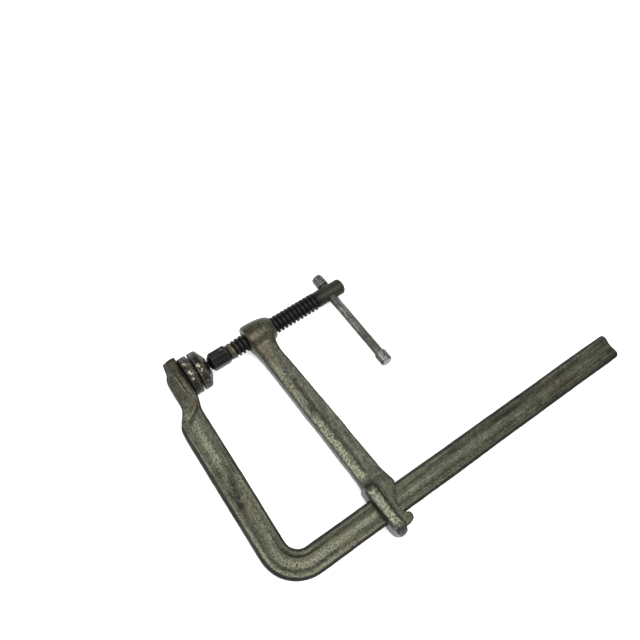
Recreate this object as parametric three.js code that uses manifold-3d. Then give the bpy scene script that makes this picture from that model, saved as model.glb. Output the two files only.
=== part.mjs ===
// Heavy drop-forged F clamp, lying on its side as it does on a bench.
// Millimetres. X runs along the rail and the spindle, Y along the two arms, Z is up.
// Origin: centre of the fixed jaw's clamping face, on the spindle axis.
import * as THREE from 'three';
import { mergeVertices } from 'three/addons/utils/BufferGeometryUtils.js';
import Module from 'manifold-3d';

const wasm = await Module();
wasm.setup();

// Frame bar: one forging, rail and fixed arm
const RAIL_WIDTH = 24;
const RAIL_HALF_THICK = 6;
const WAIST_HALF_THICK = 4.7;
const RIB_WIDTH = 6;
const THROAT = 170;
const RAIL_END_X = 333.5;
const ARM_INNER_X = -10.5;
const BEND_RADIUS = 12;

// Fixed jaw
const TIP_FACE_X = -7.6;
const ANVIL_RADIUS = 17.5;
const ANVIL_THICK = 6.6;
const HUB_RADIUS = 10;
const SHANK_RADIUS = 5;
const SHANK_DEPTH = 9;

// Sliding arm
const BOSS_LEFT_X = 52;
const BOSS_RIGHT_X = 79.5;
const BRIDGE_HALF_THICK = 14.5;
const FLANGE_HALF_THICK = 8.5;
const WINDOW_PLAY = 0.35;

// Spindle, Tr 16 x 4
const PITCH = 4;
const THREAD_RADIUS = 8;
const ROOT_RADIUS = 6.1;
const WORN_CREST_RADIUS = 7.3;
const THREAD_START_X = 33.8;
const THREAD_TURNS = 23;
const THREAD_STEPS = 16;
const JOURNAL_RADIUS = 5;
const HEAD_RADIUS = 7.4;
const HEAD_END_X = 154.5;
const PLAY = 0.3;

// Collar with ball stud, and swivel pad
const COLLAR_START_X = 14.6;
const COLLAR_END_X = 33.5;
const HEX_ACROSS_CORNERS = 17.4;
const BALL_X = 8.4;
const BALL_RADIUS = 4.6;
const NECK_RADIUS = 2.8;
const PIN_X = 28.4;
const PIN_Y = 4.3;
const PIN_RADIUS = 1.5;
const PAD_FACE_X = 2.1;
const PAD_BACK_X = 13;

// Tommy bar, slid down until its upper end rests on the spindle head
const BAR_X = 140;
const BAR_RADIUS = 4.2;
const BAR_END_RADIUS = 5.5;
const BAR_END_LENGTH = 12;
const BAR_SHORT_SIDE = 19.8;
const BAR_LONG_SIDE = 88;
const BAR_TILT = THREE.MathUtils.degToRad(15.3);

const steel = (name, color, roughness) =>
  new THREE.MeshStandardMaterial({ name, color, roughness, metalness: 0.9 });
const forgedSteel = steel('forged_steel', 0x6f6d5d, 0.55);
const armSteel = steel('arm_steel', 0x6d6b5c, 0.55);
const scorchedSteel = steel('scorched_steel', 0x4a443b, 0.7);
const blackSteel = steel('black_steel', 0x2b2a2b, 0.5);
const barSteel = steel('bar_steel', 0x75756d, 0.4);

function geometryFrom(positions, indices) {
  const geometry = new THREE.BufferGeometry();
  geometry.setAttribute('position', new THREE.Float32BufferAttribute(positions, 3));
  geometry.setIndex(indices);
  return geometry;
}

function signedVolume(geometry) {
  const p = geometry.attributes.position;
  const [a, b, c] = [new THREE.Vector3(), new THREE.Vector3(), new THREE.Vector3()];
  let sum = 0;
  for (let i = 0; i < geometry.index.count; i += 3) {
    a.fromBufferAttribute(p, geometry.index.getX(i));
    b.fromBufferAttribute(p, geometry.index.getX(i + 1));
    c.fromBufferAttribute(p, geometry.index.getX(i + 2));
    sum += a.dot(b.cross(c));
  }
  return sum / 6;
}

function facingOut(geometry) {
  if (signedVolume(geometry) < 0) {
    const index = Array.from(geometry.index.array);
    geometry.setIndex(index.reverse());
  }
  return geometry;
}

// A closed skin over rings of equal length, each a list of [x, y, z].
function loft(rings) {
  const count = rings[0].length;
  const positions = rings.flat(2);
  const indices = [];
  for (let i = 0; i + 1 < rings.length; i++) {
    for (let j = 0; j < count; j++) {
      const k = (j + 1) % count;
      const [a, b, c, d] = [i * count + j, i * count + k, (i + 1) * count + k, (i + 1) * count + j];
      indices.push(a, b, c, a, c, d);
    }
  }
  const cap = (ring, first, flip) => {
    const apex = positions.length / 3;
    for (let axis = 0; axis < 3; axis++) {
      positions.push(ring.reduce((sum, point) => sum + point[axis], 0) / count);
    }
    for (let j = 0; j < count; j++) {
      const k = (j + 1) % count;
      indices.push(apex, first + (flip ? k : j), first + (flip ? j : k));
    }
  };
  cap(rings[0], 0, true);
  cap(rings.at(-1), (rings.length - 1) * count, false);
  return facingOut(geometryFrom(positions, indices));
}

// A solid of revolution about the X axis from [x, radius] pairs.
function turned(profile, segments = 32) {
  return loft(profile.map(([x, r]) => {
    const ring = [];
    for (let j = 0; j < segments; j++) {
      const angle = (2 * Math.PI * j) / segments;
      ring.push([x, r * Math.cos(angle), r * Math.sin(angle)]);
    }
    return ring;
  }));
}

function ballProfile(centre, radius, from, to, steps) {
  const profile = [];
  for (let i = 0; i <= steps; i++) {
    const angle = from + ((to - from) * i) / steps;
    profile.push([centre - radius * Math.cos(angle), radius * Math.sin(angle)]);
  }
  return profile;
}

// A plate whose outline is a list of [x, y], with chamfered upper and lower edges.
function plate(outline, halfThick, chamfer) {
  const shape = new THREE.Shape(outline.map(([x, y]) => new THREE.Vector2(x, y)));
  const geometry = new THREE.ExtrudeGeometry(shape, {
    depth: 2 * (halfThick - chamfer),
    bevelThickness: chamfer,
    bevelSize: chamfer,
    bevelOffset: -chamfer,
    bevelSegments: 2,
  });
  geometry.translate(0, 0, chamfer - halfThick);
  return geometry;
}

function solid(geometry) {
  const bare = geometry.clone();
  bare.deleteAttribute('normal');
  bare.deleteAttribute('uv');
  const welded = mergeVertices(bare, 1e-4);
  return new wasm.Manifold(new wasm.Mesh({
    numProp: 3,
    vertProperties: new Float32Array(welded.attributes.position.array),
    triVerts: new Uint32Array(welded.index.array),
  }));
}

function node(name, shape, material) {
  const { vertProperties, triVerts } = shape.getMesh();
  const geometry = geometryFrom(Array.from(vertProperties), Array.from(triVerts));
  geometry.computeVertexNormals();
  const mesh = new THREE.Mesh(geometry, material);
  mesh.name = name;
  return mesh;
}

const box = (x0, x1, y0, y1, z0, z1) =>
  solid(new THREE.BoxGeometry(x1 - x0, y1 - y0, z1 - z0)
    .translate((x0 + x1) / 2, (y0 + y1) / 2, (z0 + z1) / 2));

// Bar section across one station: rounded ribs along both edges, a shallow channel between.
function barRing(inner, outer, edge, middle) {
  const width = Math.hypot(outer[0] - inner[0], outer[1] - inner[1]);
  const rib = Math.min(RIB_WIDTH, width * 0.3);
  const half = [
    [0, 0.4 * edge], [0.5, 0.76 * edge], [1.8, 0.96 * edge], [0.62 * rib, edge],
    [1.25 * rib, 0.2 * edge + 0.8 * middle], [width / 2, middle],
  ];
  const top = half.concat(half.slice(0, -1).reverse().map(([u, z]) => [width - u, z]));
  const section = top.concat(top.slice().reverse().map(([u, z]) => [u, -z]));
  return section.map(([u, z]) => {
    const t = u / width;
    return [inner[0] + t * (outer[0] - inner[0]), inner[1] + t * (outer[1] - inner[1]), z];
  });
}

function buildFrame() {
  const bendX = ARM_INNER_X + BEND_RADIUS;
  const bendY = -THROAT + BEND_RADIUS;
  const outerRadius = BEND_RADIUS + RAIL_WIDTH;
  const bar = (inner, outer) => barRing(inner, outer, RAIL_HALF_THICK, WAIST_HALF_THICK);
  const rings = [
    barRing([RAIL_END_X, -THROAT - 1], [RAIL_END_X, -THROAT - RAIL_WIDTH + 1], 5.2, 3.9),
    bar([RAIL_END_X - 1, -THROAT], [RAIL_END_X - 1, -THROAT - RAIL_WIDTH]),
  ];
  const bendSteps = 10;
  for (let i = 0; i <= bendSteps; i++) {
    const angle = -Math.PI / 2 - (i / bendSteps) * (Math.PI / 2);
    const [c, s] = [Math.cos(angle), Math.sin(angle)];
    rings.push(bar(
      [bendX + BEND_RADIUS * c, bendY + BEND_RADIUS * s],
      [bendX + outerRadius * c, bendY + outerRadius * s],
    ));
  }
  // The arm necks in from its outer side, then ends in a thicker ridged tip:
  // [y, inner x, outer x, half thickness at the edges, half thickness at the middle]
  const tipStations = [
    [-44, -10.5, -34.5, 6, 4.7],
    [-38, -10.6, -33.8, 6, 4.9],
    [-32, -10.4, -31, 6, 5.6],
    [-27, -9.4, -27.3, 6, 6.8],
    [-22, -8.2, -24.7, 6.2, 7.8],
    [-17, -7.6, -24, 6.4, 8],
    [3, -7.6, -24, 6.4, 8],
    [7, -7.6, -22.6, 6.4, 8],
    [10, -7.6, -20.6, 6.3, 7.9],
    [17, -7.6, -19.6, 6.1, 7.5],
    [19.6, -7.9, -18.6, 5.4, 6.6],
    [20.5, -9, -17.4, 4.2, 5.2],
  ];
  for (const [y, inner, outer, edge, middle] of tipStations) {
    rings.push(barRing([inner, y], [outer, y], edge, middle));
  }
  const socket = turned([
    [TIP_FACE_X - SHANK_DEPTH - PLAY, SHANK_RADIUS + PLAY],
    [TIP_FACE_X + 1, SHANK_RADIUS + PLAY],
  ], 24);
  return solid(loft(rings)).subtract(solid(socket));
}

function buildAnvil() {
  return solid(turned([
    [TIP_FACE_X - SHANK_DEPTH, SHANK_RADIUS - 0.6],
    [TIP_FACE_X - SHANK_DEPTH + 0.6, SHANK_RADIUS],
    [TIP_FACE_X + PLAY, SHANK_RADIUS],
    [TIP_FACE_X + PLAY, HUB_RADIUS],
    [-ANVIL_THICK, HUB_RADIUS],
    [-ANVIL_THICK, ANVIL_RADIUS - 1],
    [-ANVIL_THICK + 1, ANVIL_RADIUS],
    [-1.6, ANVIL_RADIUS],
    [-0.5, ANVIL_RADIUS - 0.8],
    [0, ANVIL_RADIUS - 2],
  ], 40));
}

// Arm section at one height: thick rib on the jaw side, thinner web behind it.
function armRing([y, left, ribRight, right, rib, web]) {
  const half = [
    [left, 0.45 * rib], [left + 0.7, 0.85 * rib], [left + 2.2, rib],
    [ribRight - 1.6, rib], [ribRight, rib - 0.3 * (rib - web)], [ribRight + 0.9, web],
    [right - 1.4, web], [right, 0.5 * web],
  ];
  const lower = half.slice().reverse().map(([x, z]) => [x, -z]);
  return half.concat(lower).map(([x, z]) => [x, y, z]);
}

function buildSlidingArm() {
  const boss = turned([
    [BOSS_LEFT_X, 12.4],
    [BOSS_LEFT_X + 1.2, 13.4],
    [BOSS_LEFT_X + 4, 13.9],
    [BOSS_LEFT_X + 10, 13.9],
    [BOSS_LEFT_X + 18, 13],
    [BOSS_LEFT_X + 23, 11.8],
    [BOSS_LEFT_X + 26, 10.3],
    [BOSS_RIGHT_X, 9],
  ], 36);
  // [y, left x, rib's right x, right x, rib half thickness, web half thickness]
  const arm = loft([
    [-4, 53, 71, 75, 9.5, 8],
    [-10, 53.2, 71, 75, 9.6, 8],
    [-15, 53.8, 69.5, 73.8, 9.2, 7],
    [-22, 54.5, 66, 73.4, 8.2, 5],
    [-34, 55.4, 64.2, 75.2, 7.4, 4],
    [-60, 57.5, 65.2, 78, 7, 3.6],
    [-90, 60, 67.7, 81.6, 7, 3.6],
    [-120, 62.4, 70.4, 84.6, 7, 3.6],
    [-148, 64.4, 73, 87.4, 7.2, 3.8],
    [-154, 64.6, 73.4, 88.2, 7.6, 5],
    [-160, 64.2, 74.5, 89.4, 8.4, 8],
    [-166, 64, 75, 90, 8.4, 8.4],
  ].map(armRing));
  const flange = plate([
    [64.6, -157], [89, -157], [90.6, -164], [90.8, -168], [89.4, -171.6], [86.4, -174.6],
    [83.6, -179], [82, -184], [81.6, -190], [82.4, -194.4], [87.2, -195.4], [87.8, -199],
    [86.2, -202], [82, -203.6], [67, -203.6], [65.6, -190], [64, -172], [63.4, -164],
  ].reverse(), FLANGE_HALF_THICK, 0.8);
  const bridge = plate([
    [65, -159.5], [73, -159.5], [74.8, -165], [76.4, -192], [77.8, -202], [76.6, -206.4],
    [73.4, -208.8], [70, -208.6], [67.4, -205.6], [66.2, -200], [64.6, -180], [63.4, -168],
    [63.6, -162],
  ].reverse(), BRIDGE_HALF_THICK, 1.8);
  const slot = [-THROAT - RAIL_WIDTH - WINDOW_PLAY, -THROAT + WINDOW_PLAY];
  const slotHalf = RAIL_HALF_THICK + WINDOW_PLAY;
  const window = box(40, 110, ...slot, -slotHalf, slotHalf);
  const bore = solid(turned([[40, THREAD_RADIUS + PLAY], [100, THREAD_RADIUS + PLAY]], 32));
  return solid(boss).add(solid(arm)).add(solid(flange)).add(solid(bridge))
    .subtract(window).subtract(bore);
}

// Right-hand trapezoidal thread: rings follow the helix and step one pitch at the seam.
function threadGeometry() {
  const flank = [[0, ROOT_RADIUS], [0.36, ROOT_RADIUS], [0.5, THREAD_RADIUS], [0.86, THREAD_RADIUS]];
  const perTurn = flank.length;
  const rings = perTurn * THREAD_TURNS + 1;
  const positions = [];
  for (let i = 0; i < rings; i++) {
    const turn = Math.floor(i / perTurn);
    const [offset, radius] = flank[i % perTurn];
    const fade = turn === 0 || turn >= THREAD_TURNS - 1;
    for (let j = 0; j < THREAD_STEPS; j++) {
      const angle = (2 * Math.PI * j) / THREAD_STEPS;
      const r = fade ? ROOT_RADIUS : radius;
      positions.push(
        THREAD_START_X + PITCH * (turn + offset + j / THREAD_STEPS),
        r * Math.cos(angle),
        r * Math.sin(angle),
      );
    }
  }
  const at = (i, j) => (j < THREAD_STEPS ? i * THREAD_STEPS + j : (i + perTurn) * THREAD_STEPS);
  const indices = [];
  for (let i = 0; i + 1 < rings; i++) {
    for (let j = 0; j < THREAD_STEPS; j++) {
      if (j === THREAD_STEPS - 1 && i + 1 + perTurn >= rings) {
        continue;
      }
      const [a, b, c, d] = [at(i, j), at(i, j + 1), at(i + 1, j + 1), at(i + 1, j)];
      indices.push(a, b, c, a, c, d);
    }
  }
  const close = (loop, x) => {
    const apex = positions.length / 3;
    positions.push(x, 0, 0);
    loop.forEach((point, i) => indices.push(apex, loop[(i + 1) % loop.length], point));
  };
  const start = [];
  const end = [];
  for (let j = 0; j < THREAD_STEPS; j++) {
    start.push(at(0, j));
    end.push(at(rings - 1, j));
  }
  for (let i = 0; i < perTurn; i++) {
    start.push(at(perTurn - i, 0));
    end.push(at(rings - 2 - i, THREAD_STEPS - 1));
  }
  close(start, THREAD_START_X - 1);
  close(end.reverse(), THREAD_START_X + PITCH * (THREAD_TURNS + 1) + 1);
  return facingOut(geometryFrom(positions, indices));
}

function barFrame(geometry) {
  return geometry
    .rotateZ(-Math.PI / 2)
    .rotateX(-BAR_TILT)
    .translate(BAR_X, 0, 0);
}

function buildSpindle() {
  const threadEnd = THREAD_START_X + PITCH * THREAD_TURNS;
  const head = turned([
    [threadEnd - 3, ROOT_RADIUS - 1],
    [threadEnd + 0.5, HEAD_RADIUS],
    [HEAD_END_X - 2.2, HEAD_RADIUS],
    [HEAD_END_X - 0.8, HEAD_RADIUS - 1],
    [HEAD_END_X, HEAD_RADIUS - 2.6],
  ], 32);
  const grooveHalf = PIN_RADIUS + PLAY;
  const grooveRadius = PIN_Y - PIN_RADIUS - PLAY;
  const journal = turned([
    [19.2, JOURNAL_RADIUS - 0.8],
    [20, JOURNAL_RADIUS],
    [PIN_X - grooveHalf, JOURNAL_RADIUS],
    [PIN_X - grooveHalf, grooveRadius],
    [PIN_X + grooveHalf, grooveRadius],
    [PIN_X + grooveHalf, JOURNAL_RADIUS],
    [THREAD_START_X, JOURNAL_RADIUS],
    [THREAD_START_X + 0.4, WORN_CREST_RADIUS - 0.3],
    [THREAD_START_X + 3, WORN_CREST_RADIUS],
    [THREAD_START_X + 3.6, ROOT_RADIUS],
    [THREAD_START_X + 2 * PITCH, ROOT_RADIUS],
  ], 32);
  const crossHole = barFrame(turned([[-12, BAR_RADIUS + PLAY], [12, BAR_RADIUS + PLAY]], 24));
  return solid(threadGeometry()).add(solid(head)).add(solid(journal)).subtract(solid(crossHole));
}

function buildCollar() {
  const hexRadius = HEX_ACROSS_CORNERS / 2;
  const neckAngle = Math.PI - Math.asin(NECK_RADIUS / BALL_RADIUS);
  const hex = turned([[16, hexRadius], [COLLAR_END_X, hexRadius]], 6);
  const envelope = turned([
    [COLLAR_START_X + 0.4, 5.6],
    [17.2, hexRadius + 0.1],
    [COLLAR_END_X - 1.8, hexRadius + 0.1],
    [COLLAR_END_X, hexRadius - 1.7],
  ], 32);
  const nose = turned([
    [COLLAR_START_X, 5],
    [17.2, 7.2],
    [18, 7.2],
  ], 32);
  const stud = turned([
    ...ballProfile(BALL_X, BALL_RADIUS, 0.35, neckAngle, 9),
    [COLLAR_START_X + 1, NECK_RADIUS],
  ], 28);
  const bore = turned([[18.9, JOURNAL_RADIUS + PLAY], [40, JOURNAL_RADIUS + PLAY]], 32);
  const pinHole = pinGeometry(PIN_RADIUS + PLAY, 12);
  return solid(hex).intersect(solid(envelope)).add(solid(nose)).add(solid(stud))
    .subtract(solid(bore)).subtract(solid(pinHole));
}

function pinGeometry(radius, halfLength) {
  return turned([[-halfLength, radius], [halfLength, radius]], 20)
    .rotateY(Math.PI / 2)
    .translate(PIN_X, PIN_Y, 0);
}

function buildPad() {
  const shell = turned([
    [PAD_FACE_X, ANVIL_RADIUS - 1.6],
    [PAD_FACE_X + 1.2, ANVIL_RADIUS],
    [PAD_BACK_X - 5, ANVIL_RADIUS],
    [PAD_BACK_X - 3.8, ANVIL_RADIUS - 0.8],
    [PAD_BACK_X - 0.6, 9.4],
    [PAD_BACK_X, 8.4],
  ], 40);
  const mouth = Math.PI - Math.asin(3.9 / (BALL_RADIUS + PLAY));
  const cavity = turned([
    ...ballProfile(BALL_X, BALL_RADIUS + PLAY, 0.2, mouth, 9),
    [PAD_BACK_X + 1, 4.8],
  ], 28);
  return solid(shell).subtract(solid(cavity));
}

function buildTommyBar() {
  const swell = (end, sign) => [
    [end, BAR_END_RADIUS - 1.2],
    [end - sign * 0.9, BAR_END_RADIUS - 0.5],
    [end - sign * 0.35 * BAR_END_LENGTH, BAR_END_RADIUS],
    [end - sign * 0.65 * BAR_END_LENGTH, BAR_END_RADIUS],
    [end - sign * 0.92 * BAR_END_LENGTH, BAR_RADIUS + 0.6],
    [end - sign * BAR_END_LENGTH, BAR_RADIUS],
  ];
  const profile = swell(-BAR_SHORT_SIDE, -1).concat(swell(BAR_LONG_SIDE, 1).reverse());
  return solid(barFrame(turned(profile, 28)));
}

const clamp = new THREE.Group();
clamp.name = 'f_clamp';
clamp.add(
  node('frame', buildFrame(), forgedSteel),
  node('anvil_disc', buildAnvil(), scorchedSteel),
  node('sliding_arm', buildSlidingArm(), armSteel),
  node('spindle', buildSpindle(), blackSteel),
  node('collar', buildCollar(), blackSteel),
  node('collar_pin', solid(pinGeometry(PIN_RADIUS, 7.2)), barSteel),
  node('swivel_pad', buildPad(), scorchedSteel),
  node('tommy_bar', buildTommyBar(), barSteel),
);

export default clamp;
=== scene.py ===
"""Visual model of the forged F clamp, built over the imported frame.

Lengths are in millimetres. Those of the materials, the lamps and the camera are in metres.
"""
import math
import random
import bmesh
import bpy
import numpy as np
from mathutils import Matrix, Vector, noise

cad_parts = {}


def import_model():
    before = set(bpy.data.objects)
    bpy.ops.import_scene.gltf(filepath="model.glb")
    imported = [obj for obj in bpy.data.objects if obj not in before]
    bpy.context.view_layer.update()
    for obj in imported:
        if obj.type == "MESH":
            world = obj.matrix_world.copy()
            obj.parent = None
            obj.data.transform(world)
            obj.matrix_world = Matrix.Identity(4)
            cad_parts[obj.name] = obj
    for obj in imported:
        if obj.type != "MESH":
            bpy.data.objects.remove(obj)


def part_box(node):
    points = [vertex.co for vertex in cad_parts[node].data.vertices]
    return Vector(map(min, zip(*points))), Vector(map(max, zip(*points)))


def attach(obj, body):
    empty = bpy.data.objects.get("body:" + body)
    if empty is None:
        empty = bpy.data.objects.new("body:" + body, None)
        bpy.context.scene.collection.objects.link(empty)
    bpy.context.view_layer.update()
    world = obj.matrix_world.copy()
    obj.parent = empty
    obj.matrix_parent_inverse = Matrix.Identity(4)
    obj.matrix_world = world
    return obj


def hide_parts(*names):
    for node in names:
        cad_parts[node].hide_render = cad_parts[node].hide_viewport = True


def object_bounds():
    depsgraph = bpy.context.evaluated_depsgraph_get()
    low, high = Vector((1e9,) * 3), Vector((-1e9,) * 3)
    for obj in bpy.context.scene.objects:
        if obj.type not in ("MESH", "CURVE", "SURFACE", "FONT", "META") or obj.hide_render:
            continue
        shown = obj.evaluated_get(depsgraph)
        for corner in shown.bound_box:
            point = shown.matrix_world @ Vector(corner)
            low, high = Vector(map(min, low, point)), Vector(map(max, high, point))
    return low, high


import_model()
cad_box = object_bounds()
scene = bpy.context.scene
random.seed(7)

MM = 0.001
LOW, HIGH = 0, 1


def reach(node, side, axis):
    """How far a CAD node reaches along an axis, on its LOW or HIGH side."""
    return round(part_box(node)[side][axis] / MM, 3)


# Rail, bend and fixed arm
RAIL_WIDTH, EDGE_HALF, HOLLOW, BAR_CORNER = 24.0, 6.0, 1.4, 3.0
MIDDLE_HALF = EDGE_HALF - HOLLOW
RAIL_END_X = reach("frame", HIGH, 0)
THROAT = -reach("frame", LOW, 1) - RAIL_WIDTH
ARM_INNER_X, BEND_RADIUS, BEND_LENGTH = -10.5, 12.0, 40.0
BEND_CENTRE = (ARM_INNER_X + BEND_RADIUS, -THROAT + BEND_RADIUS)
TIP_START_Y, TIP_END_Y = -45.0, reach("frame", HIGH, 1)
CREASE_Y, CREASE_DROP = -20.5, 14.0
RING_STEP = 1.4
# Sliding arm: its play round the rail, and its bridge
PLAY, BRIDGE_HALF = 0.35, reach("sliding_arm", HIGH, 2)
# Spindle, tommy bar, collar pin, collar and its ball
PITCH, THREAD_R, ROOT_R = 4.0, reach("spindle", HIGH, 2), 6.1
THREAD_X, THREAD_END_X = 33.8, 125.8
RIB_PITCH, RIB_R = 1.15, 7.05
HEAD_R, HEAD_END_X, JOURNAL_R, GROOVE_R = 7.4, reach("spindle", HIGH, 0), 5.0, 2.6
BORE_R = THREAD_R + 0.3
BAR_X, BAR_R, BAR_TILT = 140.0, 4.2, math.radians(15.3)
PIN_X, PIN_Y, PIN_R = 28.4, 4.3, 1.5
HEX_FLAT, HEX_CORNER = 7.55, 8.7
BALL_X, BALL_R, NECK_R = 8.4, 4.6, 2.8
# Discs
DISC_R, PAD_FACE_X = reach("anvil_disc", HIGH, 2), reach("swivel_pad", LOW, 0)
# Angles
TURN, SIXTH = 2 * math.pi, math.pi / 3


# ---------------------------------------------------------------- mesh tools

def smoothstep(a, b, x):
    t = np.clip((np.asarray(x, float) - a) / (b - a), 0, 1)
    return t * t * (3 - 2 * t)


def curve_through(keys, x):
    """Monotone cubic through rows of [x, value, ...], read at x."""
    keys = np.asarray(keys, float)
    kx, ky = keys[:, 0], keys[:, 1:]
    h = np.diff(kx)[:, None]
    slope = np.diff(ky, axis=0) / h
    tangent = np.zeros_like(ky)
    same = slope[1:] * slope[:-1] > 0
    tangent[1:-1] = np.where(same, 2 * slope[1:] * slope[:-1] / (slope[1:] + slope[:-1] + 1e-12), 0)
    tangent[0], tangent[-1] = slope[0], slope[-1]
    x = np.atleast_1d(np.asarray(x, float))
    i = np.clip(np.searchsorted(kx, x, side="right") - 1, 0, len(kx) - 2)
    t = ((x - kx[i]) / (kx[i + 1] - kx[i]))[:, None]
    a, b = ky[i], ky[i + 1]
    return (a * (2 * t**3 - 3 * t**2 + 1) + h[i] * tangent[i] * (t**3 - 2 * t**2 + t)
            + b * (3 * t**2 - 2 * t**3) + h[i] * tangent[i + 1] * (t**3 - t**2))


def make_mesh(verts, faces, name):
    mesh = bpy.data.meshes.new(name)
    mesh.from_pydata((np.asarray(verts) * MM).tolist(), [], faces)
    mesh.validate()
    bm = bmesh.new()
    bm.from_mesh(mesh)
    bmesh.ops.recalc_face_normals(bm, faces=bm.faces)
    if bm.calc_volume(signed=True) < 0:
        bmesh.ops.reverse_faces(bm, faces=bm.faces)
    bm.to_mesh(mesh)
    bm.free()
    return mesh


def grid_mesh(rings, name):
    """A closed skin over rings of equal length, with a centre point on each end."""
    rings = np.asarray(rings, float)
    m, n = rings.shape[:2]
    verts = np.vstack([rings.reshape(-1, 3), rings[0].mean(0), rings[-1].mean(0)])
    faces = []
    for i in range(m - 1):
        for j in range(n):
            k = (j + 1) % n
            faces.append((i * n + j, i * n + k, (i + 1) * n + k, (i + 1) * n + j))
    for j in range(n):
        k = (j + 1) % n
        faces.append((m * n, k, j))
        faces.append((m * n + 1, (m - 1) * n + j, (m - 1) * n + k))
    return make_mesh(verts, faces, name)


def box_mesh(low, high, name):
    corners = [[x, y, z] for x in (low[0], high[0]) for y in (low[1], high[1]) for z in (low[2], high[2])]
    sides = [(0, 1, 3, 2), (4, 6, 7, 5), (0, 4, 5, 1), (2, 3, 7, 6), (0, 2, 6, 4), (1, 5, 7, 3)]
    return make_mesh(corners, sides, name)


def turned_angles(segments):
    return np.arange(segments) * TURN / segments


def turned_ring(x, r, angle):
    """A ring about the X axis, where x and r may each be one number or one for each angle."""
    return np.stack([x + 0 * angle, r * np.cos(angle), r * np.sin(angle)], -1)


def lathe_rings(profile, segments, wobble=None):
    """Rings about the X axis from [x, radius] rows; wobble(x, r, angle) returns a new (x, r)."""
    angle = turned_angles(segments)
    rings = []
    for x, r in profile:
        if wobble:
            x, r = wobble(np.full(segments, float(x)), np.full(segments, float(r)), angle)
        rings.append(turned_ring(x, r, angle))
    return rings


def fine(profile, step):
    """Adds rows to a profile so that none is longer than step."""
    out = [list(profile[0])]
    for (x0, r0), (x1, r1) in zip(profile, profile[1:]):
        count = max(1, int(math.hypot(x1 - x0, r1 - r0) / step))
        for i in range(1, count + 1):
            out.append([x0 + (x1 - x0) * i / count, r0 + (r1 - r0) * i / count])
    return out


def obj(mesh, name):
    o = bpy.data.objects.new(name, mesh)
    scene.collection.objects.link(o)
    return o


def turned(profile, segments, name, wobble=None):
    """An object turned about the X axis from [x, radius] rows."""
    return obj(grid_mesh(lathe_rings(profile, segments, wobble), name), name)


def joined(meshes, name):
    bm = bmesh.new()
    for mesh in meshes:
        bm.from_mesh(mesh)
    whole = bpy.data.meshes.new(name)
    bm.to_mesh(whole)
    bm.free()
    return obj(whole, name)


def applied(o, kind, **settings):
    """The object with one modifier of this kind applied."""
    mod = o.modifiers.new(kind.lower(), kind)
    for key, value in settings.items():
        setattr(mod, key, value)
    bpy.context.view_layer.update()
    dg = bpy.context.evaluated_depsgraph_get()
    mesh = bpy.data.meshes.new_from_object(o.evaluated_get(dg))
    o.modifiers.clear()
    o.data = mesh
    return o


def cut(o, *tools):
    for tool in tools:
        applied(o, "BOOLEAN", operation="DIFFERENCE", solver="EXACT", object=tool)
        bpy.data.objects.remove(tool)
    return o


def shade(o, degrees):
    o.data.shade_smooth()
    o.data.set_sharp_from_angle(angle=math.radians(degrees))


def read_vectors(o, field):
    values = np.empty(len(o.data.vertices) * 3)
    o.data.vertices.foreach_get(field, values)
    return values.reshape(-1, 3)


def points_of(o):
    return read_vectors(o, "co") / MM


def normals_of(o):
    return read_vectors(o, "normal")


def edges_of(o):
    edges = np.empty(len(o.data.edges) * 2, np.int64)
    o.data.edges.foreach_get("vertices", edges)
    return edges.reshape(-1, 2)


def set_points(o, p):
    o.data.vertices.foreach_set("co", (p * MM).ravel())
    o.data.update()


def noise_at(rows):
    return np.array([noise.noise(Vector(row)) for row in rows])


def roughen(o, layers, seed):
    """Moves points along their normals by layered noise; layers are (size, height) pairs."""
    p = points_of(o)
    shift = sum(height * noise_at(p / size + seed) for size, height in layers)
    set_points(o, p + normals_of(o) * shift[:, None])


def neighbour_mean(values, edges):
    """Each point's average over its neighbours of values, one row per point."""
    count = len(values)
    a = np.concatenate([edges[:, 0], edges[:, 1]])
    b = np.concatenate([edges[:, 1], edges[:, 0]])
    degree = np.maximum(np.bincount(a, minlength=count), 1)
    columns = [np.bincount(a, weights=column[b], minlength=count) / degree
               for column in np.atleast_2d(values.T)]
    return np.array(columns).T if values.ndim > 1 else columns[0]


def relax(o, weight, rounds):
    """Smooths the points where weight is above nought."""
    p, edges = points_of(o), edges_of(o)
    for _ in range(rounds):
        p += weight[:, None] * 0.6 * (neighbour_mean(p, edges) - p)
    set_points(o, p)


def convexity(o):
    """Above nought on ridges and below it in hollows, about half the point spacing over the radius."""
    p, edges = points_of(o), edges_of(o)
    length = np.linalg.norm(p[edges[:, 0]] - p[edges[:, 1]], axis=1).mean()
    bend = -((neighbour_mean(p, edges) - p) * normals_of(o)).sum(1) / length
    for _ in range(2):
        bend = 0.5 * (bend + neighbour_mean(bend, edges))
    return bend


# ---------------------------------------------------------------- masks

def radius_of(p):
    """Distance from the spindle's axis."""
    return np.hypot(p[:, 1], p[:, 2])


def stripe(across, centre, spread):
    """One at the centre, falling to nought over spread to both sides."""
    return np.exp(-((across - centre) / spread) ** 2)


def patch(p, centre, spread):
    """One at a place in plan, falling to nought over a spread in X and one in Y."""
    return np.exp(-(((p[:, :2] - centre) / spread) ** 2).sum(1))


def near_path(p, path, spread):
    """One on a path drawn in plan, falling to nought over spread to its sides."""
    nearest = np.full(len(p), 1e9)
    for a, b in zip(np.array(path[:-1]), np.array(path[1:])):
        t = np.clip((p[:, :2] - a) @ (b - a) / ((b - a) @ (b - a)), 0, 1)
        nearest = np.minimum(nearest, np.linalg.norm(p[:, :2] - a - t[:, None] * (b - a), axis=1))
    return np.exp(-(nearest / spread) ** 2)


def keyed(along, *keys):
    """A value that runs smoothly through (place, value) pairs."""
    return curve_through([list(key) for key in keys], along)[:, 0]


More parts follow.
